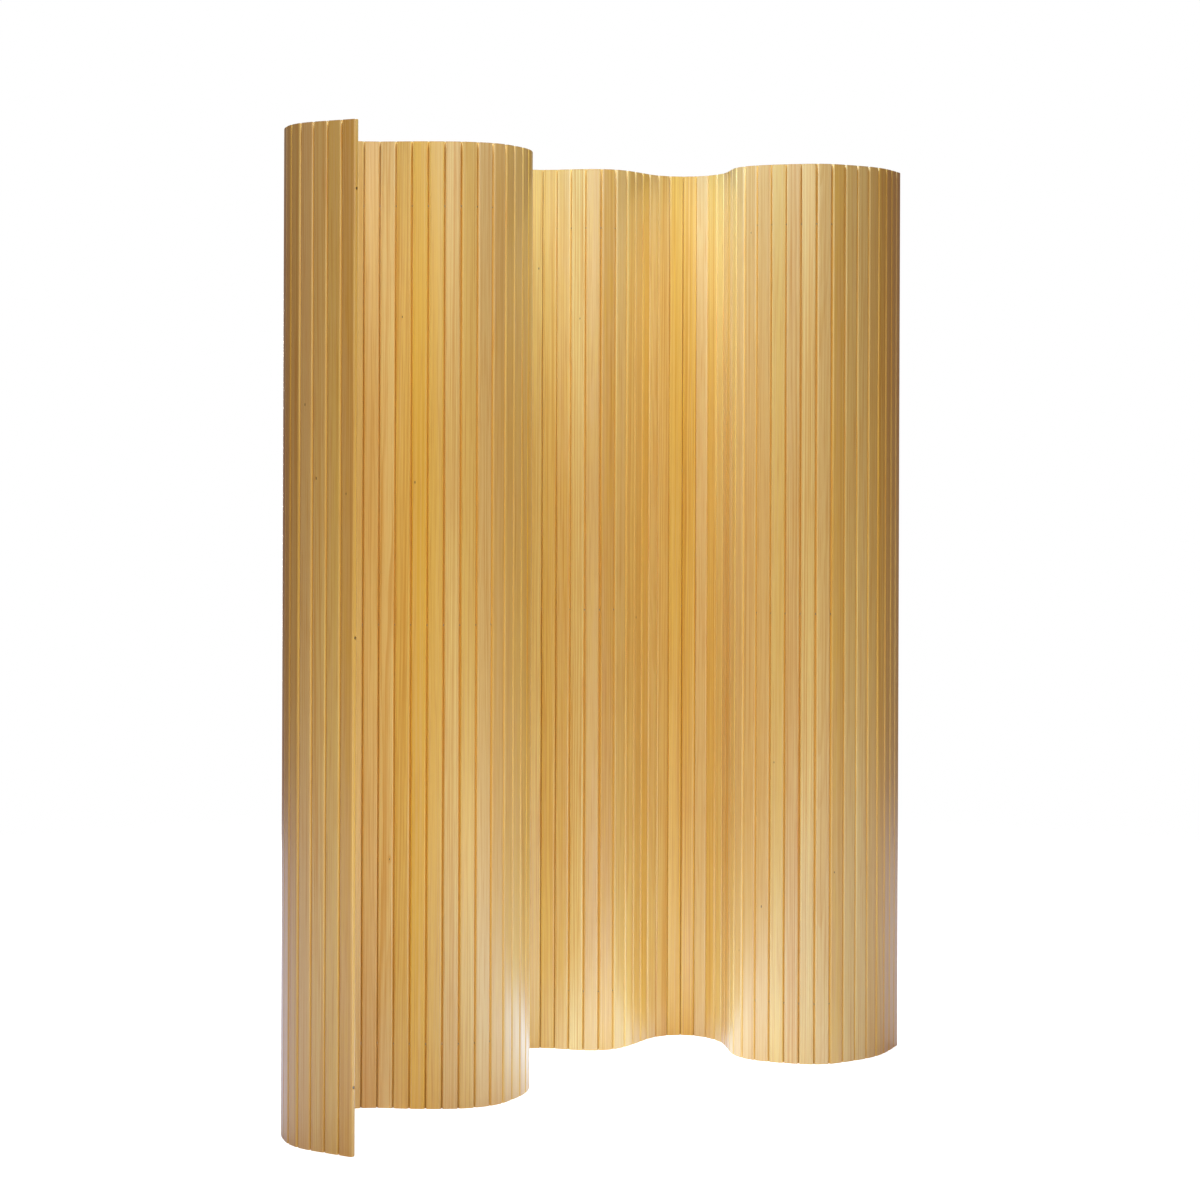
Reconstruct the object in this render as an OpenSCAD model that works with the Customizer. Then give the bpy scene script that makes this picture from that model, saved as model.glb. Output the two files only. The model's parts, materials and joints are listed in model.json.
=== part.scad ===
// A free-standing screen of upright pine slats. Three steel wires run through every slat
// from one end of the screen to the other, so it folds either way at every gap. The long
// edges of the slats are bevelled to a ridge, and neighbouring ridges turn against each
// other on the wires. It stands in one winding curve, seen from above in the XY plane:
// X runs to the viewer's right, Y away from the viewer and Z up. The origin is on the
// floor, in the middle of the space that the curve takes up.

/* [Slats] */
// Height of a slat
slat_h = 1500; // [400:10:2400]
// Width of a slat, from ridge to ridge
slat_w = 25; // [20:0.5:60]
// Thickness of a slat, between its broad faces
slat_t = 10; // [9:0.5:18]
// Gap between the ridges of two neighbours
gap = 0.3; // [0.2:0.1:2]
// Lean of a bevel, away from square to the broad face
bevel_angle = 16; // [14:1:35]
// Flat left along a ridge
ridge_land = 0.4; // [0.2:0.1:1.2]
// Radius that rounds a broad face into its bevels
arris_radius = 5; // [1:0.5:6]

/* [Wires] */
// Diameter of a wire
wire_d = 2; // [1:0.1:4]
// Space around a wire in its hole
hole_clearance = 0.6; // [0.3:0.1:1]
// Distance of the outer wires from the ends of the slats
wire_inset = 100; // [20:5:180]

/* [Wire ends] */
// Length of the sleeve crimped on each wire end
sleeve_l = 8; // [4:0.5:15]
// Wall of that sleeve
sleeve_wall = 1.2; // [0.6:0.1:2]
// Space between a wire and the bore of its sleeve
sleeve_fit = 0.05; // [0.02:0.01:0.2]
// Space between a sleeve and its pocket in the end slat
pocket_clearance = 0.3; // [0.1:0.1:0.8]
// Wire left beyond a sleeve
wire_tail = 1.2; // [0:0.1:3]
// Depth of a wire's tip below the ridge of the end slat
tip_depth = 0.8; // [0.2:0.1:4]
// Chamfer on the ends of a sleeve
sleeve_chamfer = 0.3; // [0.1:0.1:0.5]

/* [Standing curve] */
// Heading of the first slat, anticlockwise from X
first_heading = 149; // [0:1:359]
// Neighbours that bend no more than this at rest are kept as one stiff pair
pair_angle = 11; // [0:1:12]

/* [Hidden] */
// Joints that bend alike, in their order from the near end: [how many, degrees each].
// Anticlockwise is positive, and a joint turns by up to 30 degrees either way.
bends = [
    [2, 0], [1, -8], [2, -15], [5, -7], [5, -12], [2, -11], [1, -1], [3, 4], [2, 11],
    [2, 17], [1, 1], [6, 9], [2, 3], [2, -4], [2, -13], [6, -16], [1, -11], [1, 5],
    [1, 13], [2, 22], [1, 14], [2, 2], [1, -11], [1, -18], [3, -22], [1, -17], [2, -13],
    [1, -6], [1, -1], [1, 6], [1, 16], [1, 21], [1, 14], [3, 6], [2, 19], [2, 4], [3, 9],
    [2, 2]
];
joint_bends = [for (b = bends) for (k = [1:b[0]]) b[1]];
slat_count = len(joint_bends) + 1;
pitch = slat_w + gap;

// Sum of the first n numbers of a list
function total(list, n, i = 0) = i >= n ? 0 : list[i] + total(list, n, i + 1);
// A point turned about the origin
function turned(p, a) = [p.x * cos(a) - p.y * sin(a), p.x * sin(a) + p.y * cos(a)];

headings = [for (i = [0:slat_count - 1]) first_heading + total(joint_bends, i)];
steps_x = [for (h = headings) pitch * cos(h)];
steps_y = [for (h = headings) pitch * sin(h)];
// The middle of every gap, with the screen's first and last ridge at the two ends
route = [for (j = [0:slat_count]) [total(steps_x, j), total(steps_y, j)]];
middles = [for (i = [0:slat_count - 1]) (route[i] + route[i + 1]) / 2];

// Outline of a slat from above, anticlockwise from the lower end of its right ridge
bevel_run = (slat_t - ridge_land) / 2 * tan(bevel_angle);
bevel_l = (slat_t - ridge_land) / 2 / cos(bevel_angle);
face_half = slat_w / 2 - bevel_run;
arris_turn = 90 - bevel_angle;
arris_steps = 4;
// The rounding takes no more than nearly all of a bevel or of half a face
most_rounded = 0.95;
arris_r = min(arris_radius, most_rounded * min(bevel_l, face_half) / tan(arris_turn / 2));
arris_middle = [face_half - arris_r * tan(arris_turn / 2), slat_t / 2 - arris_r];
arris_angles = [for (k = [0:arris_steps]) bevel_angle + arris_turn * k / arris_steps];
right_edge = concat([[slat_w / 2, ridge_land / 2]],
    [for (a = arris_angles) arris_middle + arris_r * [cos(a), sin(a)]]);
upper_edge = concat(right_edge,
    [for (k = [arris_steps + 1:-1:0]) [-right_edge[k].x, right_edge[k].y]]);
slat_outline = concat(upper_edge,
    [for (k = [2 * arris_steps + 3:-1:0]) [upper_edge[k].x, -upper_edge[k].y]]);

// Middle of the space that the standing screen takes up
corners = [for (i = [0:slat_count - 1]) for (p = slat_outline)
    middles[i] + turned(p, headings[i])];
xs = [for (c = corners) c.x];
ys = [for (c = corners) c.y];
centre = [(min(xs) + max(xs)) / 2, (min(ys) + max(ys)) / 2];
joints_at = [for (r = route) r - centre];

wire_heights = [wire_inset, slat_h / 2, slat_h - wire_inset];
hole_d = wire_d + 2 * hole_clearance;
sleeve_bore = wire_d + 2 * sleeve_fit;
sleeve_d = sleeve_bore + 2 * sleeve_wall;
pocket_d = sleeve_d + 2 * pocket_clearance;
pocket_depth = tip_depth + wire_tail + sleeve_l;
wire_sides = 8;
round_fn = 32;
past = 1;

// Slats in their nodes: single ones, and pairs where the curve is nearly straight
function groups_from(i) = i >= slat_count ? [] :
    i < slat_count - 1 && abs(joint_bends[i]) <= pair_angle
        ? concat([[i, i + 1]], groups_from(i + 2))
        : concat([[i]], groups_from(i + 1));
groups = groups_from(0);
function two_digits(n) = n < 10 ? str("0", n) : str(n);
function group_name(g) = len(g) == 1
    ? str("slat_", two_digits(g[0] + 1))
    : str("slats_", two_digits(g[0] + 1), "_", two_digits(g[1] + 1));

// Pale to honey-coloured pine, in a mixed order
pine_tones = ["#E3C48D", "#D9B06E", "#EBD3A2", "#D0A463", "#E6C887"];
tone_step = 2;
tone_run = 3;
function tone(i) = pine_tones[(i * tone_step + floor(i / tone_run)) % len(pine_tones)];

// Moves a piece drawn about a slat's middle to where slat i stands
module at_slat(i) {
    translate([middles[i].x - centre.x, middles[i].y - centre.y, 0])
        rotate([0, 0, headings[i]])
            children();
}

// A pocket for a sleeve, sunk into the long edge on one side of a slat: -1 left, 1 right
module sleeve_pockets(side) {
    for (z = wire_heights)
        translate([side * (slat_w / 2 - pocket_depth), 0, z])
            rotate([0, 90 * side, 0])
                cylinder(d = pocket_d, h = pocket_depth + past, $fn = round_fn);
}

module slat(i) {
    color(tone(i))
        at_slat(i)
            difference() {
                linear_extrude(height = slat_h) polygon(slat_outline);
                for (z = wire_heights)
                    translate([0, 0, z])
                        rotate([0, 90, 0])
                            cylinder(d = hole_d, h = slat_w + 2 * past, center = true,
                                $fn = round_fn);
                if (i == 0) sleeve_pockets(-1);
                if (i == slat_count - 1) sleeve_pockets(1);
            }
}

module slat_group(g) {
    for (i = g) slat(i);
}

// The route of a wire: its two tips lie inside the end slats, and it turns in every gap
tip_in = tip_depth + gap / 2;
near_tip = joints_at[0] + tip_in * [cos(headings[0]), sin(headings[0])];
last = slat_count - 1;
far_tip = joints_at[slat_count] - tip_in * [cos(headings[last]), sin(headings[last])];
wire_points = concat([near_tip], [for (j = [1:last]) joints_at[j]], [far_tip]);
wire_turns = concat([headings[0]],
    [for (j = [1:last]) (headings[j - 1] + headings[j]) / 2], [headings[last]]);
wire_mitres = concat([1], [for (j = [1:last]) 1 / cos(joint_bends[j - 1] / 2)], [1]);

// One unbroken wire, mitred at each turn
module wire(z) {
    n = wire_sides;
    rings = len(wire_points);
    points = [for (r = [0:rings - 1]) for (k = [0:n - 1])
        let (across = wire_d / 2 * cos(360 * k / n) * wire_mitres[r])
            [wire_points[r].x - across * sin(wire_turns[r]),
             wire_points[r].y + across * cos(wire_turns[r]),
             z + wire_d / 2 * sin(360 * k / n)]];
    sides = [for (r = [0:rings - 2]) for (k = [0:n - 1])
        let (m = (k + 1) % n)
            [(r + 1) * n + k, (r + 1) * n + m, r * n + m, r * n + k]];
    start = [for (k = [0:n - 1]) k];
    end = [for (k = [n - 1:-1:0]) (rings - 1) * n + k];
    color("silver") polyhedron(points, concat([start], [end], sides));
}

// The sleeves on the ends of the three wires, seated on the floors of their pockets
module end_sleeves(i, side) {
    profile = [
        [sleeve_bore / 2, 0], [sleeve_d / 2 - sleeve_chamfer, 0],
        [sleeve_d / 2, sleeve_chamfer], [sleeve_d / 2, sleeve_l - sleeve_chamfer],
        [sleeve_d / 2 - sleeve_chamfer, sleeve_l], [sleeve_bore / 2, sleeve_l]
    ];
    color("gray")
        at_slat(i)
            for (z = wire_heights)
                translate([side * (slat_w / 2 - pocket_depth), 0, z])
                    rotate([0, 90 * side, 0])
                        rotate_extrude($fn = round_fn) polygon(profile);
}

for (g = groups)
    slat_group(g);
wire(wire_heights[0]);  // wire_bottom
wire(wire_heights[1]);  // wire_middle
wire(wire_heights[2]);  // wire_top
end_sleeves(0, -1);  // end_sleeves_near
end_sleeves(last, 1);  // end_sleeves_far
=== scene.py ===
# %% [markdown]
# A flexible screen of pine slats.
# The real screen is a row of upright pine slats, threaded on three steel wires and stood
# on the floor in a winding curve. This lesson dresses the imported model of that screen.
# The model already knows where every slat stands, so it is loaded first and nothing in it
# is ever moved. Each finished piece then rides on the body that it belongs to.

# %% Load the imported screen
import json
import math
import random

import bpy
import numpy as np
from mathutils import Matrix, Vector


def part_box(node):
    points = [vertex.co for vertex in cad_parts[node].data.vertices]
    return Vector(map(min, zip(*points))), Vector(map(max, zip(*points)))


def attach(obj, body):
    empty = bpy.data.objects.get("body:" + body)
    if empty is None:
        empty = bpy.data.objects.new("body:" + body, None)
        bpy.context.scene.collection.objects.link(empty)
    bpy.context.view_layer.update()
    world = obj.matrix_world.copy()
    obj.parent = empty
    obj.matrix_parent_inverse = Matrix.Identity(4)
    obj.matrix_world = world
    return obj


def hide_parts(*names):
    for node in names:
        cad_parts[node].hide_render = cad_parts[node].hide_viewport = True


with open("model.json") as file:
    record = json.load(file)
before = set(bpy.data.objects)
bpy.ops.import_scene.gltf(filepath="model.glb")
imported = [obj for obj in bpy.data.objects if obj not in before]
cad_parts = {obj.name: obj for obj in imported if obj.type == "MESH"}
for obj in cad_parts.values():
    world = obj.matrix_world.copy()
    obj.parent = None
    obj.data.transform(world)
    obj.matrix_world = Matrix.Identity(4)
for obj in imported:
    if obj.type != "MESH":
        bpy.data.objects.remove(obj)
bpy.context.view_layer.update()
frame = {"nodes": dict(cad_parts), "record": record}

# %% [markdown]
# The camera.
# The photograph fits a long lens from 4 to 5 metres away, a little above the middle of the
# screen. Its uprights hardly converge, so the camera is level, and the frame is shifted
# down instead of the camera being tilted. It has a very small roll.

# %% Camera
CAMERA_PLACE = (-0.0197, -4.4731, 1.028)
LENS_MM = 84
SENSOR_MM = 36
LEVEL = math.radians(90)
CAMERA_ROLL = math.radians(-0.2)
FRAME_SHIFT = -0.128

camera_data = bpy.data.cameras.new("camera")
camera_data.lens = LENS_MM
camera_data.sensor_width = SENSOR_MM
camera_data.shift_y = FRAME_SHIFT
camera = bpy.data.objects.new("camera", camera_data)
camera.location = CAMERA_PLACE
camera.rotation_euler = (LEVEL, CAMERA_ROLL, 0)
bpy.context.scene.collection.objects.link(camera)
bpy.context.scene.camera = camera
print("The camera stands", round(-CAMERA_PLACE[1], 2), "m in front of the screen's middle")

# %% [markdown]
# Where the slats stand.
# Every slat keeps the place that the model gives it, so the places are read from the model
# and not repeated here. A node holds one slat or a stiff pair of them, as loose triangles.
# Seen from above a slat runs from ridge to ridge, so its two ridges are the vertices that
# lie furthest apart, and a pair is first cut in two halfway along.

# %% Measure the slats of a node
PAIR_LONGER_THAN = 0.03
RIDGE_SLACKS = (1e-5, 1e-6)


def seen_from_above(node):
    """The vertices of a node, without their heights."""
    mesh = frame["nodes"][node].data
    points = np.empty(len(mesh.vertices) * 3, np.float32)
    mesh.vertices.foreach_get("co", points)
    return points.reshape(-1, 3)[:, :2].astype(float)


def across(direction):
    """The level direction a quarter turn to the left."""
    return np.array([-direction[1], direction[0]])


def far_apart(points):
    """The direction between the two points that lie furthest apart."""
    start = points[np.argmax(np.linalg.norm(points - points.mean(0), axis=1))]
    end = points[np.argmax(np.linalg.norm(points - start, axis=1))]
    return (end - start) / np.linalg.norm(end - start)


def ridge(points, direction, slack):
    """The middle of the ridge that lies furthest along a direction."""
    along = points @ direction
    edge = points[along > along.max() - slack]
    side = edge @ across(direction)
    return along.max() * direction + (side.min() + side.max()) / 2 * across(direction)


def ridges_of(points):
    """The two ridges of one slat, measured twice, the second time along the first result."""
    direction = far_apart(points)
    for slack in RIDGE_SLACKS:
        start, end = ridge(points, -direction, slack), ridge(points, direction, slack)
        direction = (end - start) / np.linalg.norm(end - start)
    return start, end


def slats_in(node):
    """The two ridges of each slat in a node."""
    points = seen_from_above(node)
    along = points @ far_apart(points)
    if np.ptp(along) < PAIR_LONGER_THAN:
        return [ridges_of(points)]
    cut = (along.min() + along.max()) / 2
    return [ridges_of(points[along < cut]), ridges_of(points[along > cut])]


# %% Put the slats in order, from the near free end
slat_nodes = [n for n in frame["nodes"] if n.startswith("slat")]
slat_nodes.sort(key=lambda n: int(n.split("_")[1]))
found = {node: slats_in(node) for node in slat_nodes}
behind = sum(found[slat_nodes[1]][0]) / 2
slats = []
for node in slat_nodes:
    middles = [sum(ridges) / 2 for ridges in found[node]]
    if slats:
        distances = [np.linalg.norm(m - slats[-1]["middle"]) for m in middles]
    else:
        distances = [-np.linalg.norm(m - behind) for m in middles]
    for k in np.argsort(distances):
        slats.append({"node": node, "ridges": found[node][k], "middle": middles[k]})

# %% Turn each slat to run on from the one before it, and number it
for i, slat in enumerate(slats):
    back, on = slats[max(i - 1, 0)], slats[min(i + 1, len(slats) - 1)]
    start, end = slat["ridges"]
    if (end - start) @ (on["middle"] - back["middle"]) < 0:
        start, end = end, start
    slat["start"], slat["end"] = start, end
    slat["heading"] = math.atan2(end[1] - start[1], end[0] - start[0])
    slat["number"] = i + 1

# %% Measure one slat
slat_w = float(np.linalg.norm(slats[0]["end"] - slats[0]["start"]))
slat_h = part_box(slat_nodes[0])[1].z
alone = next(slat for slat in slats if len(found[slat["node"]]) == 1)
sideways = across((alone["end"] - alone["start"]) / slat_w)
slat_t = float(np.ptp(seen_from_above(alone["node"]) @ sideways))
print(len(slats), "slats of", round(slat_w * 1000, 1), "x", round(slat_t * 1000, 1), "x",
      round(slat_h * 1000), "mm in", len(slat_nodes), "nodes")

# %% [markdown]
# Small helpers for node trees.
# Both Geometry Nodes and materials are built in the script, so two helpers keep that short:
# one adds a node with its settings and inputs, the other does a sum.

# %% Helpers for node trees
MM = 0.001


def add(tree, kind, inputs=None, **settings):
    """Adds a node. Each input is a plain value or the output socket of another node."""
    node = tree.nodes.new(kind)
    for name, value in settings.items():
        setattr(node, name, value)
    for name, value in (inputs or {}).items():
        if isinstance(value, bpy.types.NodeSocket):
            tree.links.new(value, node.inputs[name])
        else:
            node.inputs[name].default_value = value
    return node


def sum_of(tree, operation, *values):
    """The output of a Math node."""
    return add(tree, "ShaderNodeMath", dict(enumerate(values)), operation=operation).outputs[0]


def point_of(tree, x=0.0, y=0.0, z=0.0):
    """The output of a Combine XYZ node."""
    return add(tree, "ShaderNodeCombineXYZ", {"X": x, "Y": y, "Z": z}).outputs[0]


SOCKETS = {"number": "NodeSocketFloat", "count": "NodeSocketInt", "object": "NodeSocketObject",
           "material": "NodeSocketMaterial"}


def geometry_tree(name, **inputs):
    """An empty Geometry Nodes tree, its input node and its output node."""
    tree = bpy.data.node_groups.new(name, "GeometryNodeTree")
    tree.interface.new_socket("Geometry", in_out="INPUT", socket_type="NodeSocketGeometry")
    for label, kind in inputs.items():
        tree.interface.new_socket(label, in_out="INPUT", socket_type=SOCKETS[kind])
    tree.interface.new_socket("Geometry", in_out="OUTPUT", socket_type="NodeSocketGeometry")
    return tree, tree.nodes.new("NodeGroupInput").outputs, tree.nodes.new("NodeGroupOutput")


def made_by(tree, name, mesh, **values):
    """The plain mesh that a tree makes from a mesh. Inputs are set by their identifiers."""
    worker = bpy.data.objects.new(name, mesh)
    bpy.context.scene.collection.objects.link(worker)
    modifier = worker.modifiers.new(name, "NODES")
    modifier.node_group = tree
    for item in tree.interface.items_tree:
        if item.in_out == "INPUT" and item.name in values:
            modifier[item.identifier] = values[item.name]
    evaluated = worker.evaluated_get(bpy.context.evaluated_depsgraph_get())
    result = bpy.data.meshes.new_from_object(evaluated)
    result.name = name
    bpy.data.objects.remove(worker)
    return result


# %% [markdown]
# The shape of a slat.
# On the real screen each slat is planed from a pine batten, with both long edges bevelled
# to a blunt ridge, so that neighbours can fold against each other either way. The broad
# faces run into the bevels in a soft rounding. The sawn ends are drawn slightly eased, as
# sanding leaves them.
# A slat is a shape that follows a rule, so Geometry Nodes make it: an outline of eight
# corners is filleted and swept up a line, and the wire holes are cut out of the result.
# Before a slat is placed, each point writes down where it lies in the slat. The grain
# reads that later, so it runs along every slat wherever the slat stands.

# %% The tree that shapes a slat
OUTLINE_CORNERS = 8
ARRIS_STEPS = 12

slat_tree, given, result = geometry_tree(
    "shape a slat", width="number", thickness="number", height="number",
    bevel_run="number", ridge_land="number", arris_radius="number",
    end_ease="number", end_scale="number", hole="number", wire_inset="number",
    pocket="number", pocket_depth="number", pocket_side="number", material="material")
t = slat_tree
half_w = sum_of(t, "MULTIPLY", given["width"], 0.5)
half_t = sum_of(t, "MULTIPLY", given["thickness"], 0.5)
half_land = sum_of(t, "MULTIPLY", given["ridge_land"], 0.5)
half_face = sum_of(t, "SUBTRACT", half_w, given["bevel_run"])

# %% The outline of a slat, seen from above
circle = add(t, "GeometryNodeCurvePrimitiveCircle", {"Resolution": OUTLINE_CORNERS})
eighth = math.pi / OUTLINE_CORNERS
turned = add(t, "GeometryNodeTransform", {
    "Geometry": circle.outputs["Curve"], "Rotation": (0, 0, eighth)})
where = add(t, "ShaderNodeSeparateXYZ", {"Vector": add(t, "GeometryNodeInputPosition").outputs[0]})
x, y = where.outputs["X"], where.outputs["Y"]
on_face = sum_of(t, "GREATER_THAN", sum_of(t, "ABSOLUTE", y), sum_of(t, "ABSOLUTE", x))


def chosen(tree, switch, no, yes):
    """One of two numbers."""
    return add(tree, "GeometryNodeSwitch", {"Switch": switch, "False": no, "True": yes},
               input_type="FLOAT").outputs[0]


corner = point_of(
    t,
    sum_of(t, "MULTIPLY", sum_of(t, "SIGN", x), chosen(t, on_face, half_w, half_face)),
    sum_of(t, "MULTIPLY", sum_of(t, "SIGN", y), chosen(t, on_face, half_land, half_t)))
outline = add(t, "GeometryNodeSetPosition", {"Geometry": turned.outputs[0], "Position": corner})
is_arris = sum_of(t, "GREATER_THAN", sum_of(t, "ABSOLUTE", y), given["ridge_land"])
rounded = add(t, "GeometryNodeFilletCurve", {
    "Curve": outline.outputs[0], "Count": ARRIS_STEPS,
    "Radius": sum_of(t, "MULTIPLY", is_arris, given["arris_radius"])}, mode="POLY")

# %% The upright line that the outline is swept along
# It has four points: both ends, and one just inside each, where the easing starts
LAST_POINT = 3

line = add(t, "GeometryNodeSubdivideCurve", {
    "Curve": add(t, "GeometryNodeCurvePrimitiveLine").outputs[0], "Cuts": LAST_POINT - 1})
index = add(t, "GeometryNodeInputIndex").outputs[0]
low_end = sum_of(t, "MULTIPLY", index, given["end_ease"])
from_top = sum_of(t, "MULTIPLY", sum_of(t, "SUBTRACT", LAST_POINT, index), given["end_ease"])
high_end = sum_of(t, "SUBTRACT", given["height"], from_top)
upper = sum_of(t, "GREATER_THAN", index, LAST_POINT / 2)
height_at = chosen(t, upper, low_end, high_end)
upright = add(t, "GeometryNodeSetPosition", {
    "Geometry": line.outputs[0], "Position": point_of(t, z=height_at)})
from_half_way = sum_of(t, "ABSOLUTE", sum_of(t, "SUBTRACT", index, LAST_POINT / 2))
at_end = sum_of(t, "GREATER_THAN", from_half_way, 1)
stick = add(t, "GeometryNodeCurveToMesh", {
    "Curve": upright.outputs[0], "Profile Curve": rounded.outputs[0],
    "Scale": chosen(t, at_end, 1.0, given["end_scale"]), "Fill Caps": True})

# %% The holes for the wires, and the pockets for the wire ends in the two outer slats
BORE_SIDES = 24
OVERSHOOT = 1 * MM
QUARTER = math.pi / 2
WIRES = 3


def wire_levels(tree, height, inset):
    """Points above each other, one at the height of each wire."""
    span = sum_of(tree, "SUBTRACT", sum_of(tree, "MULTIPLY", height, 0.5), inset)
    return add(tree, "GeometryNodeMeshLine", {
        "Count": WIRES, "Start Location": point_of(tree, z=inset),
        "Offset": point_of(tree, z=span)}).outputs[0]


bore = add(t, "GeometryNodeMeshCylinder", {
    "Vertices": BORE_SIDES, "Radius": sum_of(t, "MULTIPLY", given["hole"], 0.5),
    "Depth": sum_of(t, "ADD", given["width"], 2 * OVERSHOOT)})
pocket_long = sum_of(t, "ADD", given["pocket_depth"], OVERSHOOT)
pocket = add(t, "GeometryNodeMeshCylinder", {
    "Vertices": BORE_SIDES, "Radius": sum_of(t, "MULTIPLY", given["pocket"], 0.5),
    "Depth": pocket_long})
pocket_middle = sum_of(t, "SUBTRACT", sum_of(t, "ADD", half_w, OVERSHOOT),
                       sum_of(t, "MULTIPLY", pocket_long, 0.5))
pocket_there = add(t, "GeometryNodeTransform", {
    "Geometry": pocket.outputs[0],
    "Translation": point_of(t, z=sum_of(t, "MULTIPLY", pocket_middle, given["pocket_side"]))})
has_pocket = sum_of(t, "GREATER_THAN", sum_of(t, "ABSOLUTE", given["pocket_side"]), 0.5)
pocket_or_none = add(t, "GeometryNodeSwitch", {
    "Switch": has_pocket, "True": pocket_there.outputs[0]}, input_type="GEOMETRY")
cutter = add(t, "GeometryNodeJoinGeometry", {"Geometry": bore.outputs[0]})
t.links.new(pocket_or_none.outputs[0], cutter.inputs[0])
cutters = add(t, "GeometryNodeInstanceOnPoints", {
    "Points": wire_levels(t, given["height"], given["wire_inset"]),
    "Instance": cutter.outputs[0], "Rotation": (0, QUARTER, 0)})
drilled = add(t, "GeometryNodeMeshBoolean", {
    "Mesh 1": stick.outputs[0],
    "Mesh 2": add(t, "GeometryNodeRealizeInstances", {0: cutters.outputs[0]}).outputs[0],
    "Self Intersection": True}, operation="DIFFERENCE", solver="EXACT")

# %% Write down where each point lies in the slat, and end the tree
marked = add(t, "GeometryNodeStoreNamedAttribute", {
    "Geometry": drilled.outputs[0], "Name": "in_slat",
    "Value": add(t, "GeometryNodeInputPosition").outputs[0]},
    data_type="FLOAT_VECTOR", domain="POINT")
# No material is given yet, because the tree that stands the slats up sets it
whole = add(t, "GeometryNodeRealizeInstances", {0: marked.outputs[0]})
painted = add(t, "GeometryNodeSetMaterial", {0: whole.outputs[0], "Material": given["material"]})
t.links.new(painted.outputs[0], result.inputs[0])
print("The slat tree has", len(t.nodes), "nodes")

# %% [markdown]
# Three kinds of slat.
# The middle slats are all alike. The first and the last one also have three pockets in
# their outer edge, where the ends of the wires are held by crimped sleeves. The photograph
# shows no daylight between neighbours, while the model leaves a thin film of air there. So
# the middle slats are drawn a hair wider than the model's, and their ridges are sharper,
# so that they turn about each other in a fold. The faces that look at the camera in the
# photograph are flat nearly up to the grooves, so their edges are rounded less than the
# model's are. That radius was chosen.

# %% Shape the three kinds
BEVEL_LEAN = math.radians(16)
RIDGE_LAND = 0.1 * MM
ARRIS_RADIUS = 3 * MM
END_EASE = 0.35 * MM
END_SCALE = 0.968
HOLE = 3.2 * MM
SLEEVE_CLEARANCE = 0.3 * MM

wire_low, wire_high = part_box("wire_bottom")
wire_d = wire_high.z - wire_low.z
wire_inset = (wire_low.z + wire_high.z) / 2
sleeve_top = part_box("end_sleeves_near")[1].z
sleeve_d = 2 * (sleeve_top - (slat_h - wire_inset))
POCKET = sleeve_d + 2 * SLEEVE_CLEARANCE
POCKET_DEPTH = 10 * MM
bevel_run = (slat_t - RIDGE_LAND) / 2 * math.tan(BEVEL_LEAN)
pitch = float(np.linalg.norm(slats[2]["middle"] - slats[1]["middle"]))
print("The ridges of neighbours are", round((pitch - slat_w) / MM, 2), "mm apart in the model")


def slat_shape(kind, pocket_side):
    """The mesh of one slat that stands at the origin and runs along X."""
    width = slat_w if pocket_side else pitch
    return made_by(slat_tree, kind, bpy.data.meshes.new(kind), width=width,
                   thickness=slat_t, height=slat_h, bevel_run=bevel_run,
                   ridge_land=RIDGE_LAND, arris_radius=ARRIS_RADIUS, end_ease=END_EASE,
                   end_scale=END_SCALE, hole=HOLE, wire_inset=wire_inset, pocket=POCKET,
                   pocket_depth=POCKET_DEPTH, pocket_side=float(pocket_side))


shapes = {}
for kind, pocket_side in (("middle slat", 0), ("first slat", -1), ("last slat", 1)):
    shapes[kind] = bpy.data.objects.new(kind, slat_shape(kind, pocket_side))
    bpy.context.scene.collection.objects.link(shapes[kind])
    print(kind, "has", len(shapes[kind].data.polygons), "faces")

# %% [markdown]
# Pine, and how to describe it.
# The slats look cut from many boards, so each has its own tone and grain. A slat that is cut
# near the side of the trunk shows straight fine lines, and one cut flat shows long pointed
# flames. Both come from the same rule: growth rings are nested cones round the pith of the
# trunk, and a slat shows where its faces cut through them. So each slat is told where the
# pith of its tree was, how wide the rings are and how much the trunk leans, and the
# material works the rings out from that. Fixed seeds keep the choice the same every time:
# one for the timber, and one each for how dark and how rosy a slat is. The seeds were
# searched for, so that pale, dark and golden slats fall roughly as in the photograph.

# %% Choose the timber of each slat
TIMBER_SEED = 429971
SHADE_SEED = 417625
TINT_SEED = 1700110
TONE_MIDDLE, TONE_SPREAD = 0.5, 0.3
GRAIN_RANGE, GRAIN_POWER = (0.25, 1), 1.5
PITH_AWAY_MM = (25, 120)
RING_WIDTHS_MM = (1.1, 3.6)
TRUNK_LEAN = 0.006
MOST_LUCK = 50
KNOT_ASIDE_MM = 8
KNOT_FROM_END_MM = 100
KNOT_SIZES_MM = (0, 0, 0, 0, 0.7, 0.9)


def timber(number):
    """The tone, shade, tint, grain, pith, lean and knot of one slat."""
    chance = random.Random(TIMBER_SEED + number)
    tone = min(max(chance.gauss(TONE_MIDDLE, TONE_SPREAD), 0), 1)
    away = chance.uniform(*PITH_AWAY_MM)
    turn = chance.uniform(0, 2 * math.pi)
    return {
        "tone": tone,
        "shade": random.Random(SHADE_SEED + number).random(),
        "tint": random.Random(TINT_SEED + number).random(),
        "grain": chance.uniform(*GRAIN_RANGE) ** GRAIN_POWER,
        "pith": (away * math.cos(turn), away * math.sin(turn), chance.uniform(*RING_WIDTHS_MM)),
        "lean": (chance.gauss(0, TRUNK_LEAN), chance.gauss(0, TRUNK_LEAN),
                 chance.uniform(0, MOST_LUCK)),
        "knot": (chance.uniform(-KNOT_ASIDE_MM, KNOT_ASIDE_MM),
                 chance.uniform(KNOT_FROM_END_MM, slat_h / MM - KNOT_FROM_END_MM),
                 chance.choice(KNOT_SIZES_MM)),
    }


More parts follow.
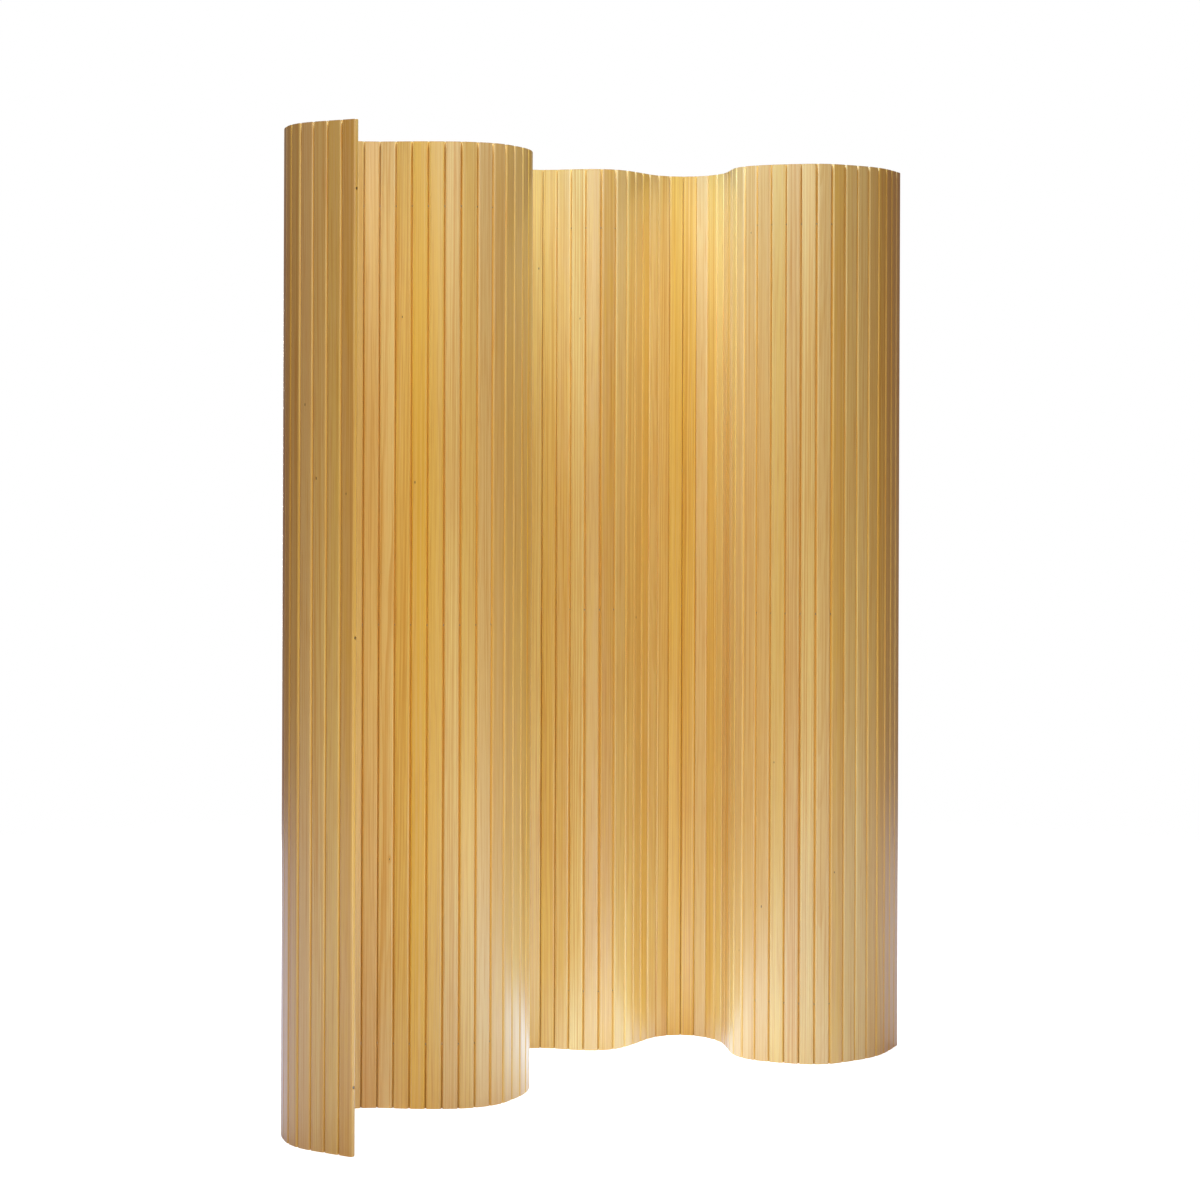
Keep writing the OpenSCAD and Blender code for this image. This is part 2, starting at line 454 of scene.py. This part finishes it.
for slat in slats:
    slat["timber"] = timber(slat["number"])
print("Slat 1 is cut", [round(v, 1) for v in slats[0]["timber"]["pith"][:2]],
      "mm from its pith")

# %% [markdown]
# The colour and polish of pine.
# Rings are pale at first and end each year in a thin amber line that stops sharply. Finer
# than that are the fibres, and here and there an orange streak of resin or a pin knot. The
# streaks are made denser towards the grooves, where their darker orange is painted shade
# between the slats. The grooves themselves get a lighter honey colour, painted light that
# lifts the shade in them. Everything is worked out from the attribute that says where a
# point lies in its slat, so no picture is needed. Each slat also has its own tone, tint and
# shade. The photograph doesn't show the sawn ends. End grain drinks more varnish, so they
# are drawn darker, with the rings as small arcs.

# %% Helpers for materials
def colour(red, green, blue):
    """A colour in steps of 0 to 255, as the linear values Blender wants."""
    return tuple(((v / 255 + 0.055) / 1.055) ** 2.4 for v in (red, green, blue)) + (1,)


def new_material(name):
    """A material with an empty tree that ends in one shader."""
    material = bpy.data.materials.new(name)
    material.use_nodes = True
    tree = material.node_tree
    tree.nodes.clear()
    shader = tree.nodes.new("ShaderNodeBsdfPrincipled")
    add(tree, "ShaderNodeOutputMaterial", {"Surface": shader.outputs[0]})
    return material, tree, shader


# %% Helpers that read what is written on a slat
def read(tree, name):
    """The three numbers of an attribute."""
    node = add(tree, "ShaderNodeAttribute", attribute_name=name)
    parts = add(tree, "ShaderNodeSeparateXYZ", {"Vector": node.outputs["Vector"]}).outputs
    return parts[0], parts[1], parts[2]


def read_one(tree, name):
    """The single number of an attribute."""
    return add(tree, "ShaderNodeAttribute", attribute_name=name).outputs["Fac"]


# %% Helpers for mixing colours and for patterns
def mixed(tree, share, first, second, how="MIX"):
    """Two colours mixed."""
    node = add(tree, "ShaderNodeMix", data_type="RGBA", blend_type=how)
    for socket, value in zip((node.inputs["Factor"], node.inputs[6], node.inputs[7]),
                             (share, first, second)):
        if isinstance(value, bpy.types.NodeSocket):
            tree.links.new(value, socket)
        else:
            socket.default_value = value
    return node.outputs[2]


def ramp(tree, value, low, high, smooth=True):
    """A value stretched so that low gives 0 and high gives 1."""
    return add(tree, "ShaderNodeMapRange", {
        "Value": value, "From Min": low, "From Max": high}, clamp=True,
        interpolation_type="SMOOTHSTEP" if smooth else "LINEAR").outputs[0]


def noise(tree, vector, detail=2.0, roughness=0.5):
    """A noise of about -1 to 1 at the given place."""
    node = add(tree, "ShaderNodeTexNoise", {
        "Vector": vector, "Scale": 1.0, "Detail": detail, "Roughness": roughness})
    return sum_of(tree, "MULTIPLY_ADD", node.outputs[0], 2.0, -1.0)


def distance(tree, a, b):
    """How far apart two points are that differ by a one way and by b across it."""
    return sum_of(tree, "SQRT", sum_of(tree, "ADD", sum_of(tree, "POWER", a, 2),
                                       sum_of(tree, "POWER", b, 2)))


# %% The colours of varnished pine
CREAM = colour(250, 225, 152)
GOLD = colour(248, 203, 80)
ROSE = colour(244, 206, 142)
AMBER = colour(222, 156, 54)
RESIN = colour(104, 56, 20)
ORANGE = colour(234, 142, 34)
# Painted light: a lighter honey colour for the grooves, lifting the shade that falls in them
GROOVE_PAINTED_LIGHT = colour(255, 212, 112)
SAWN = colour(186, 112, 48)
DARKER = (0.90, 0.83, 0.79, 1)

# %% Where a point lies in its slat, and what timber the slat is
LUCK_SHIFT_MM = 37

pine, t, shader = new_material("varnished pine")
x, y, z = (sum_of(t, "DIVIDE", part, MM) for part in read(t, "in_slat"))
pith_x, pith_y, ring_width = read(t, "pith")
lean_x, lean_y, luck = read(t, "lean")
knot_x, knot_z, knot_size = read(t, "knot")
tone, shade, tint, grain = (read_one(t, name) for name in ("tone", "shade", "tint", "grain"))
# Luck shifts each slat to its own part of the noise, so that no two look alike
other_x = sum_of(t, "MULTIPLY_ADD", luck, LUCK_SHIFT_MM, x)


def drawn_out(across_mm, along_mm, **settings):
    """A noise whose blots are so many millimetres wide across a slat and long along it."""
    place = point_of(t, sum_of(t, "DIVIDE", other_x, across_mm), sum_of(t, "DIVIDE", y, across_mm),
                     sum_of(t, "DIVIDE", z, along_mm))
    return noise(t, place, **settings)


# %% How far a point is from the pith, with a bulge round a knot
KNOT_SQUEEZE = 0.4
SMALLEST_KNOT_MM = 0.01
BULGE_FALL = -0.1
BULGE_HEIGHT = 2.5
WANDER_MM = 2

knot_dx = sum_of(t, "SUBTRACT", x, knot_x)
knot_dz = sum_of(t, "MULTIPLY", sum_of(t, "SUBTRACT", z, knot_z), KNOT_SQUEEZE)
near_knot = sum_of(t, "DIVIDE", distance(t, knot_dx, knot_dz),
                   sum_of(t, "MAXIMUM", knot_size, SMALLEST_KNOT_MM))
swell = sum_of(t, "EXPONENT",
               sum_of(t, "MULTIPLY", sum_of(t, "POWER", near_knot, 2), BULGE_FALL))
bulge = sum_of(t, "MULTIPLY", sum_of(t, "MULTIPLY", swell, knot_size), BULGE_HEIGHT)

from_pith_x = sum_of(t, "SUBTRACT", sum_of(t, "SUBTRACT", x, pith_x),
                     sum_of(t, "MULTIPLY", lean_x, z))
from_pith_y = sum_of(t, "SUBTRACT", sum_of(t, "SUBTRACT", y, pith_y),
                     sum_of(t, "MULTIPLY", lean_y, z))
wander = drawn_out(across_mm=50, along_mm=320, detail=2.0)
radius = sum_of(t, "ADD", distance(t, from_pith_x, from_pith_y),
                sum_of(t, "MULTIPLY_ADD", wander, WANDER_MM, bulge))

# %% The growth rings, one for each year
PACE, UNEVEN_BY = 0.35, 2.4
LUCKY_YEARS = 13
LATE_GROWS = (0.25, 0.9)
LATE_STOPS = (1.0, 0.93)
YEAR_STRENGTH = (-0.3, 1.0)

years = sum_of(t, "DIVIDE", radius, ring_width)
uneven = add(t, "ShaderNodeTexNoise", {"W": sum_of(t, "MULTIPLY_ADD", years, PACE, luck),
                                       "Scale": 1.0, "Detail": 1.0}, noise_dimensions="1D")
years = sum_of(t, "MULTIPLY_ADD", uneven.outputs[0], UNEVEN_BY, years)
season = sum_of(t, "FRACT", years)
year = sum_of(t, "ADD", sum_of(t, "FLOOR", years), sum_of(t, "MULTIPLY", luck, LUCKY_YEARS))
year_luck = add(t, "ShaderNodeTexWhiteNoise", {"W": year}, noise_dimensions="1D").outputs["Value"]
late = sum_of(t, "MULTIPLY", ramp(t, season, *LATE_GROWS), ramp(t, season, *LATE_STOPS))
late = sum_of(t, "MULTIPLY", late, ramp(t, year_luck, *YEAR_STRENGTH, smooth=False))

# %% Fibres, soft bands of another tone, and streaks of resin
fibres = drawn_out(across_mm=0.7, along_mm=60, detail=3.0, roughness=0.6)
threads = drawn_out(across_mm=1.5, along_mm=140, detail=2.0, roughness=0.6)
lines = drawn_out(across_mm=2.1, along_mm=500, detail=1.0, roughness=0.6)
bands = drawn_out(across_mm=7, along_mm=650, detail=2.0)
blots = drawn_out(across_mm=8, along_mm=80, detail=3.0)
resin_and_groove_shade = drawn_out(across_mm=2.4, along_mm=110, detail=1.0)

# %% The tone of a slat, its bands and its lines
BAND_SWING, BLOT_SWING = 0.3, 0.4
MIDDLE_TINT, TINT_TO_GOLD = 0.53, 0.33
RING_SHARE = 0.85
LINE_SHARE, LINE_SHARE_WITH_GRAIN = 0.25, 0.6


def laid_on(tree, wood, paint, pattern, low, high, share):
    """The wood with a colour laid on, more and more as a pattern goes from low to high."""
    strength = sum_of(tree, "MULTIPLY", ramp(tree, pattern, low, high), share)
    return mixed(tree, strength, wood, paint)


golden = sum_of(t, "MULTIPLY_ADD", bands, BAND_SWING, tone)
golden = sum_of(t, "MULTIPLY_ADD", sum_of(t, "SUBTRACT", MIDDLE_TINT, tint), TINT_TO_GOLD,
                golden)
wood = mixed(t, ramp(t, golden, 0.0, 1.0, smooth=False), CREAM, GOLD)
blush = sum_of(t, "MULTIPLY_ADD", blots, BLOT_SWING, tint)
wood = laid_on(t, wood, ROSE, blush, low=0.45, high=1.0, share=0.6)
wood = laid_on(t, wood, ROSE, lines, low=0.0, high=-0.45, share=0.55)
rings = sum_of(t, "MULTIPLY", sum_of(t, "MULTIPLY", late, grain), RING_SHARE)
wood = mixed(t, rings, wood, AMBER)
line_share = sum_of(t, "MULTIPLY_ADD", grain, LINE_SHARE_WITH_GRAIN, LINE_SHARE)
wood = laid_on(t, wood, AMBER, lines, low=0.05, high=0.5, share=line_share)
wood = laid_on(t, wood, AMBER, threads, low=0.0, high=0.6, share=0.7)
wood = laid_on(t, wood, AMBER, fibres, low=0.0, high=0.6, share=0.4)

# %% Resin, partly painted shade near the grooves, and painted light in the grooves
# Where the painted shade near the grooves comes in, and how strongly it adds to the resin streaks
GROOVE_SHADE_RAMP_MM = (7.0, 11.5)
GROOVE_SHADE_GAIN = 0.25

from_middle = sum_of(t, "ABSOLUTE", x)
# Random resin streaks, made denser towards the grooves, where the darker orange is painted shade
# between the slats
resin_and_groove_shade = sum_of(t, "MULTIPLY_ADD", ramp(t, from_middle, *GROOVE_SHADE_RAMP_MM), GROOVE_SHADE_GAIN, resin_and_groove_shade)
wood = laid_on(t, wood, ORANGE, resin_and_groove_shade, low=0.55, high=0.75, share=0.6)
# Painted light: the grooves get a lighter honey colour that lifts the shade in them
wood = laid_on(t, wood, GROOVE_PAINTED_LIGHT, from_middle, low=11.0, high=12.0, share=0.8)

# %% Knots, sawn ends, and the shade of the whole slat
KNOT_RIM, KNOT_SEEN, KNOT_SHARE = (1.3, 0.7), (0.2, 0.6), 0.8
SAWN_STARTS_MM, SAWN_FULL_MM = 0.3, 0.05
SAWN_SHARE, ARC_SHARE = 0.9, 0.6

knot = sum_of(t, "MULTIPLY", ramp(t, near_knot, *KNOT_RIM), ramp(t, knot_size, *KNOT_SEEN))
wood = mixed(t, sum_of(t, "MULTIPLY", knot, KNOT_SHARE), wood, RESIN)
half_h = slat_h / MM / 2
from_half_way_up = sum_of(t, "ABSOLUTE", sum_of(t, "SUBTRACT", z, half_h))
end_grain = mixed(t, sum_of(t, "MULTIPLY", late, ARC_SHARE), SAWN, RESIN)
wood = laid_on(t, wood, end_grain, from_half_way_up, low=half_h - SAWN_STARTS_MM,
               high=half_h - SAWN_FULL_MM, share=SAWN_SHARE)
wood = mixed(t, shade, wood, DARKER, how="MULTIPLY")
t.links.new(wood, shader.inputs["Base Color"])

# %% The varnish
SATIN, SATIN_ON_FIBRES, SATIN_ON_RINGS = 0.46, 0.05, -0.06
RING_RELIEF, FIBRE_RELIEF = 0.6, 0.5

satin = sum_of(t, "MULTIPLY_ADD", fibres, SATIN_ON_FIBRES, SATIN)
satin = sum_of(t, "MULTIPLY_ADD", late, SATIN_ON_RINGS, satin)
t.links.new(satin, shader.inputs["Roughness"])
shader.inputs["Specular IOR Level"].default_value = 0.5
shader.inputs["Coat Weight"].default_value = 1.0
shader.inputs["Coat Roughness"].default_value = 0.32
shader.inputs["Coat IOR"].default_value = 1.5
relief = sum_of(t, "MULTIPLY_ADD", late, RING_RELIEF,
                sum_of(t, "MULTIPLY", fibres, FIBRE_RELIEF))
bump = add(t, "ShaderNodeBump", {"Height": relief, "Distance": 0.05 * MM, "Strength": 0.5})
t.links.new(bump.outputs[0], shader.inputs["Normal"])
print("The pine tree has", len(t.nodes), "nodes")

# %% [markdown]
# Standing the slats up.
# A second tree puts the shaped slats where they belong. It gets one point for each slat of
# a body, with the slat's heading and timber written on the point, and turns a copy of the
# right kind of slat to that heading. Copies that are only instances are lost on export, so
# the tree ends by making them real and giving them their material.

# %% The tree that stands slats up
stand_tree, given, result = geometry_tree(
    "stand slats up", middle="object", first="object", last="object", material="material")
t = stand_tree
points = add(t, "GeometryNodeMeshToPoints", {0: given["Geometry"]}).outputs[0]
heading = add(t, "GeometryNodeInputNamedAttribute", {"Name": "heading"}, data_type="FLOAT")
kind = add(t, "GeometryNodeInputNamedAttribute", {"Name": "kind"}, data_type="FLOAT")
upright_turn = add(t, "FunctionNodeAxisAngleToRotation", {"Angle": heading.outputs[0]})
together = add(t, "GeometryNodeJoinGeometry")
for number, label in enumerate(("middle", "first", "last")):
    shape = add(t, "GeometryNodeObjectInfo", {"Object": given[label]})
    is_kind = add(t, "FunctionNodeCompare", {"A": kind.outputs[0], "B": float(number),
                                             "Epsilon": 0.5}, operation="EQUAL")
    stood = add(t, "GeometryNodeInstanceOnPoints", {
        "Points": points, "Selection": is_kind.outputs[0],
        "Instance": shape.outputs["Geometry"], "Rotation": upright_turn.outputs[0]})
    t.links.new(stood.outputs[0], together.inputs[0])
real = add(t, "GeometryNodeRealizeInstances", {0: together.outputs[0]})
painted = add(t, "GeometryNodeSetMaterial", {0: real.outputs[0], "Material": given["material"]})
t.links.new(painted.outputs[0], result.inputs[0])
print("The standing tree has", len(t.nodes), "nodes")

# %% Write on the points, and stand the slats of each body
# The first and the last slat by number, and their places in the tree's list of kinds
KINDS = {1: 1.0, len(slats): 2.0}
body_of_node = {node: body for body, nodes in frame["record"]["behaviour"]["bodies"].items()
                for node in nodes}


def mark(mesh, name, values):
    """Writes a number or three on each point of a mesh."""
    flat = np.array(values, np.float32)
    kind, field = ("FLOAT", "value") if flat.ndim == 1 else ("FLOAT_VECTOR", "vector")
    mesh.attributes.new(name, kind, "POINT").data.foreach_set(field, flat.ravel())


for node in slat_nodes:
    mine = [slat for slat in slats if slat["node"] == node]
    places = bpy.data.meshes.new("places")
    places.from_pydata([(*slat["middle"], 0) for slat in mine], [], [])
    mark(places, "heading", [slat["heading"] for slat in mine])
    mark(places, "kind", [KINDS.get(slat["number"], 0.0) for slat in mine])
    for feature in ("tone", "shade", "tint", "grain", "pith", "lean", "knot"):
        mark(places, feature, [slat["timber"][feature] for slat in mine])
    mesh = made_by(stand_tree, "pine_" + node, places, middle=shapes["middle slat"],
                   first=shapes["first slat"], last=shapes["last slat"], material=pine)
    piece = bpy.data.objects.new("pine_" + node, mesh)
    bpy.context.scene.collection.objects.link(piece)
    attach(piece, body_of_node[node])
    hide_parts(node)
for shape in shapes.values():
    bpy.data.objects.remove(shape)
print("The slats stand in", len(slat_nodes), "pieces")

# %% [markdown]
# The wires.
# A wire runs through the whole screen and bends in every gap. Here each body carries its
# own stretch of the three wires, from the middle of one gap to the middle of the next. The
# stretches have round ends that lie on the fold, so they stay closed when the screen moves.
# A wire follows a path, so Geometry Nodes sweep a circle along a line of points, with a
# radius written on each point that makes the ends round.

# %% The tree that draws wires
WIRE_SIDES = 16
ROUND_STEPS = 4
CAP_TURN = math.radians(88)

wire_tree, given, result = geometry_tree(
    "draw wires", height="number", wire_inset="number", wire="number", material="material")
t = wire_tree
path = add(t, "GeometryNodeMeshToCurve", {"Mesh": given["Geometry"]})
paths = add(t, "GeometryNodeInstanceOnPoints", {
    "Points": wire_levels(t, given["height"], given["wire_inset"]),
    "Instance": path.outputs[0]})
loose = add(t, "GeometryNodeRealizeInstances", {0: paths.outputs[0]})
profile = add(t, "GeometryNodeCurvePrimitiveCircle", {
    "Resolution": WIRE_SIDES, "Radius": sum_of(t, "MULTIPLY", given["wire"], 0.5)})
swell = add(t, "GeometryNodeInputNamedAttribute", {"Name": "swell"}, data_type="FLOAT")
tube = add(t, "GeometryNodeCurveToMesh", {
    "Curve": loose.outputs[0], "Profile Curve": profile.outputs["Curve"],
    "Scale": swell.outputs[0], "Fill Caps": True})
real = add(t, "GeometryNodeRealizeInstances", {0: tube.outputs[0]})
smooth = add(t, "GeometryNodeSetShadeSmooth", {0: real.outputs[0]})
painted = add(t, "GeometryNodeSetMaterial", {0: smooth.outputs[0], "Material": given["material"]})
t.links.new(painted.outputs[0], result.inputs[0])
print("The wire tree has", len(t.nodes), "nodes")

# %% [markdown]
# The steel.
# The photograph shows the wires only as dark dots in the gaps, and their ends not at all,
# so both steels are guessed: drawn wire with fine scratches, and duller sleeves, slightly
# dented by the crimping. One grey would do from afar, but a noise in the colour and in the
# roughness keeps the metal from looking like plastic up close. It reads the place on the
# piece itself, so it stays where it is when the screen folds.

# %% Two steels
SCRATCHES_PER_M = (900, 900, 4000)
DENTS_PER_M = (700, 700, 700)
PALE_WIRE, DARK_WIRE = colour(196, 194, 188), colour(150, 148, 142)
PALE_CRIMP, DARK_CRIMP = colour(158, 154, 146), colour(112, 108, 100)


def steel(name, marks_per_m, detail, dark, pale, roughness, swing):
    """A grey metal whose colour and roughness vary with a fine noise."""
    material, tree, shader = new_material(name)
    shader.inputs["Metallic"].default_value = 1.0
    spot = add(tree, "ShaderNodeTexCoord").outputs["Object"]
    place = add(tree, "ShaderNodeVectorMath", {0: spot, 1: marks_per_m}, operation="MULTIPLY")
    marks = noise(tree, place.outputs[0], detail=detail)
    paint = mixed(tree, ramp(tree, marks, -1.0, 1.0), dark, pale)
    tree.links.new(paint, shader.inputs["Base Color"])
    rough = sum_of(tree, "MULTIPLY_ADD", marks, swing, roughness)
    tree.links.new(rough, shader.inputs["Roughness"])
    return material, tree, shader, marks


wire_steel = steel("drawn steel", SCRATCHES_PER_M, 3.0, DARK_WIRE, PALE_WIRE,
                   roughness=0.34, swing=0.08)[0]
crimp_steel, t, shader, dents = steel("crimped steel", DENTS_PER_M, 4.0, DARK_CRIMP,
                                      PALE_CRIMP, roughness=0.46, swing=0.1)
bump = add(t, "ShaderNodeBump", {"Height": dents, "Distance": 0.1 * MM, "Strength": 0.4})
t.links.new(bump.outputs[0], shader.inputs["Normal"])
print("Two steels are ready")

# %% Where the wires run
TIP_DEPTH = 0.8 * MM

joints = [(slats[i]["end"] + slats[i + 1]["start"]) / 2 for i in range(len(slats) - 1)]
tips = [slats[0]["start"] + TIP_DEPTH * (slats[0]["end"] - slats[0]["start"]) / slat_w,
        slats[-1]["end"] - TIP_DEPTH * (slats[-1]["end"] - slats[-1]["start"]) / slat_w]
stops = [tips[0], *joints, tips[1]]


# %% Round off the ends of a stretch
def cap(end, inner, radius):
    """Points that round a wire off beyond its end, and the wire's swell at each."""
    if any(end is tip for tip in tips):
        return []
    outward = (end - inner) / np.linalg.norm(end - inner)
    angles = [k / ROUND_STEPS * CAP_TURN for k in range(1, ROUND_STEPS + 1)]
    return [(end + radius * math.sin(a) * outward, math.cos(a)) for a in angles]


def rounded_path(stretch, radius):
    """The points of a stretch, rounded where it meets a fold, and the swell at each."""
    line = cap(stretch[0], stretch[1], radius)[::-1] + [(p, 1.0) for p in stretch]
    line += cap(stretch[-1], stretch[-2], radius)
    return [p for p, _ in line], [s for _, s in line]


# %% Draw the wires of each body
for node in slat_nodes:
    numbers = [slat["number"] for slat in slats if slat["node"] == node]
    stretch = stops[numbers[0] - 1:numbers[-1] + 1]
    points, swells = rounded_path(stretch, wire_d / 2)
    line = bpy.data.meshes.new("stretch")
    line.from_pydata([(*p, 0) for p in points],
                     [(k, k + 1) for k in range(len(points) - 1)], [])
    mark(line, "swell", swells)
    name = "wires_in_" + node
    mesh = made_by(wire_tree, name, line, height=slat_h, wire_inset=wire_inset, wire=wire_d,
                   material=wire_steel)
    piece = bpy.data.objects.new(name, mesh)
    bpy.context.scene.collection.objects.link(piece)
    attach(piece, body_of_node[node])
    if body_of_node["wire_top"] == body_of_node[node]:
        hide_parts("wire_bottom", "wire_middle", "wire_top")
print("The wires are drawn in", len(slat_nodes), "stretches of three")

# %% The sleeves keep the model's own shape and get their steel
for node in ("end_sleeves_near", "end_sleeves_far"):
    frame["nodes"][node].data.materials.clear()
    frame["nodes"][node].data.materials.append(crimp_steel)

# %% [markdown]
# The stage.
# The photograph shows the screen on plain white, without a horizon or a shadow. A round
# pale floor lies under it and fades out at its rim, before it could draw a line across the
# picture. A white studio floor throws a lot of light back up, most of it from the places
# that the lamps shine on, which is the likely reason for the pale feet of the slats. So
# the floor gives off a soft glow with four brighter pools in it. The camera itself sees
# the floor and the surroundings as plain white.

# %% The floor
# A pool of light is its middle, its radius and its strength in red, green and blue
FLOOR_RADIUS = 3.4
FLOOR_SIDES = 90
FLOOR_FADE = 1.4
FLOOR_GLOW = (0.14, 0.14, 0.25)
FLOOR_POOLS = (
    ((0.04, 0.2, 0), 0.25, (0.42, 0.72, 1.10)),
    ((0.12, 0.05, 0), 0.45, (0.72, 1.02, 1.36)),
    ((0.12, -0.45, 0), 0.5, (0.40, 0.80, 1.15)),
    ((0.28, -1.1, 0), 0.6, (3.75, 3.25, 1.70)),
)

floor_mesh = bpy.data.meshes.new("floor")
rim = [(FLOOR_RADIUS * math.cos(a), FLOOR_RADIUS * math.sin(a), 0)
       for a in (math.radians(360 / FLOOR_SIDES * k) for k in range(FLOOR_SIDES))]
floor_mesh.from_pydata(rim, [], [range(len(rim))])
floor = bpy.data.objects.new("floor", floor_mesh)
bpy.context.scene.collection.objects.link(floor)
floor_paint, t, shader = new_material("pale floor")
spot = add(t, "ShaderNodeTexCoord").outputs["Object"]
away = add(t, "ShaderNodeVectorMath", {0: spot}, operation="LENGTH").outputs["Value"]
t.links.new(ramp(t, away, FLOOR_RADIUS, FLOOR_RADIUS - FLOOR_FADE), shader.inputs["Alpha"])
shader.inputs["Base Color"].default_value = colour(240, 240, 238)
shader.inputs["Roughness"].default_value = 0.7

# %% The light that the floor gives off
glow = FLOOR_GLOW
for place, radius, strength in FLOOR_POOLS:
    away = add(t, "ShaderNodeVectorMath", {0: spot, 1: place}, operation="DISTANCE")
    pool = add(t, "ShaderNodeVectorMath", {
        0: strength, "Scale": ramp(t, away.outputs["Value"], radius, 0.0)}, operation="SCALE")
    glow = add(t, "ShaderNodeVectorMath", {0: glow, 1: pool.outputs[0]},
               operation="ADD").outputs[0]


# %% Plain white for the camera
WHITE = (1, 1, 1)


def white_to_camera(tree, light):
    """Plain white where the camera looks, and the given light everywhere else."""
    looked_at = add(tree, "ShaderNodeLightPath").outputs["Is Camera Ray"]
    node = add(tree, "ShaderNodeMix", {"Factor": looked_at}, data_type="VECTOR")
    if isinstance(light, bpy.types.NodeSocket):
        tree.links.new(light, node.inputs[4])
    else:
        node.inputs[4].default_value = light
    node.inputs[5].default_value = WHITE
    return node.outputs[1]


t.links.new(white_to_camera(t, glow), shader.inputs["Emission Color"])
shader.inputs["Emission Strength"].default_value = 1.0
floor_mesh.materials.append(floor_paint)

# %% The surroundings
WORLD_LIGHT = (0.155, 0.082, 0.072)

world = bpy.data.worlds.new("white surroundings")
bpy.context.scene.world = world
world.use_nodes = True
t = world.node_tree
t.links.new(white_to_camera(t, WORLD_LIGHT), t.nodes["Background"].inputs["Color"])
t.nodes["Background"].inputs["Strength"].default_value = 1.0
bpy.context.scene.view_settings.view_transform = "Standard"

# %% [markdown]
# The lamps.
# A broad lamp hangs over the screen and weaker ones stand in front of it, two high and one
# low. Their strengths and tints were fitted to the light and shade that the photograph
# shows on the wood. The fit made the lamp overhead blue, two of those in front yellow and
# the third a pale violet. A likely reason is that wood that faces wood is lit by it again
# and again and turns redder each time, yet in the photograph the hollows are as golden as
# the rest. One more lamp lights the back, low enough not to shine over the top.

# %% Lamps
def lamp(name, place, aim, size, watts, tint):
    """A soft square lamp that points at a place and isn't seen itself."""
    data = bpy.data.lights.new(name, "AREA")
    data.size, data.energy, data.color = size, watts, tint
    one = bpy.data.objects.new(name, data)
    one.location = place
    one.rotation_euler = (Vector(aim) - Vector(place)).to_track_quat("-Z", "Y").to_euler()
    one.visible_camera = False
    bpy.context.scene.collection.objects.link(one)


lamp("top lamp", place=(-0.25, 0.1, 2.95), aim=(-0.25, 0.1, 0), size=1.0, watts=65.5,
     tint=(0.45, 0.665, 1.00))
lamp("front lamp", place=(-0.25, -1.9, 2.9), aim=(-0.15, 0, 1.2), size=0.8, watts=3.7,
     tint=(0.88, 0.76, 1.00))
lamp("far front lamp", place=(0.1, -3.4, 3.0), aim=(0, 0, 0.9), size=1.4, watts=26.8,
     tint=(0.98, 0.92, 0.49))
lamp("low lamp", place=(0.25, -2.4, 0.4), aim=(0, 0, 0.6), size=1.0, watts=8.5,
     tint=(0.93, 1.00, 0.46))
lamp("back lamp", place=(-0.6, 3.0, 0.95), aim=(-0.1, 0, 0.8), size=1.0, watts=42,
     tint=(1, 0.92, 0.82))
print("The stage is lit")
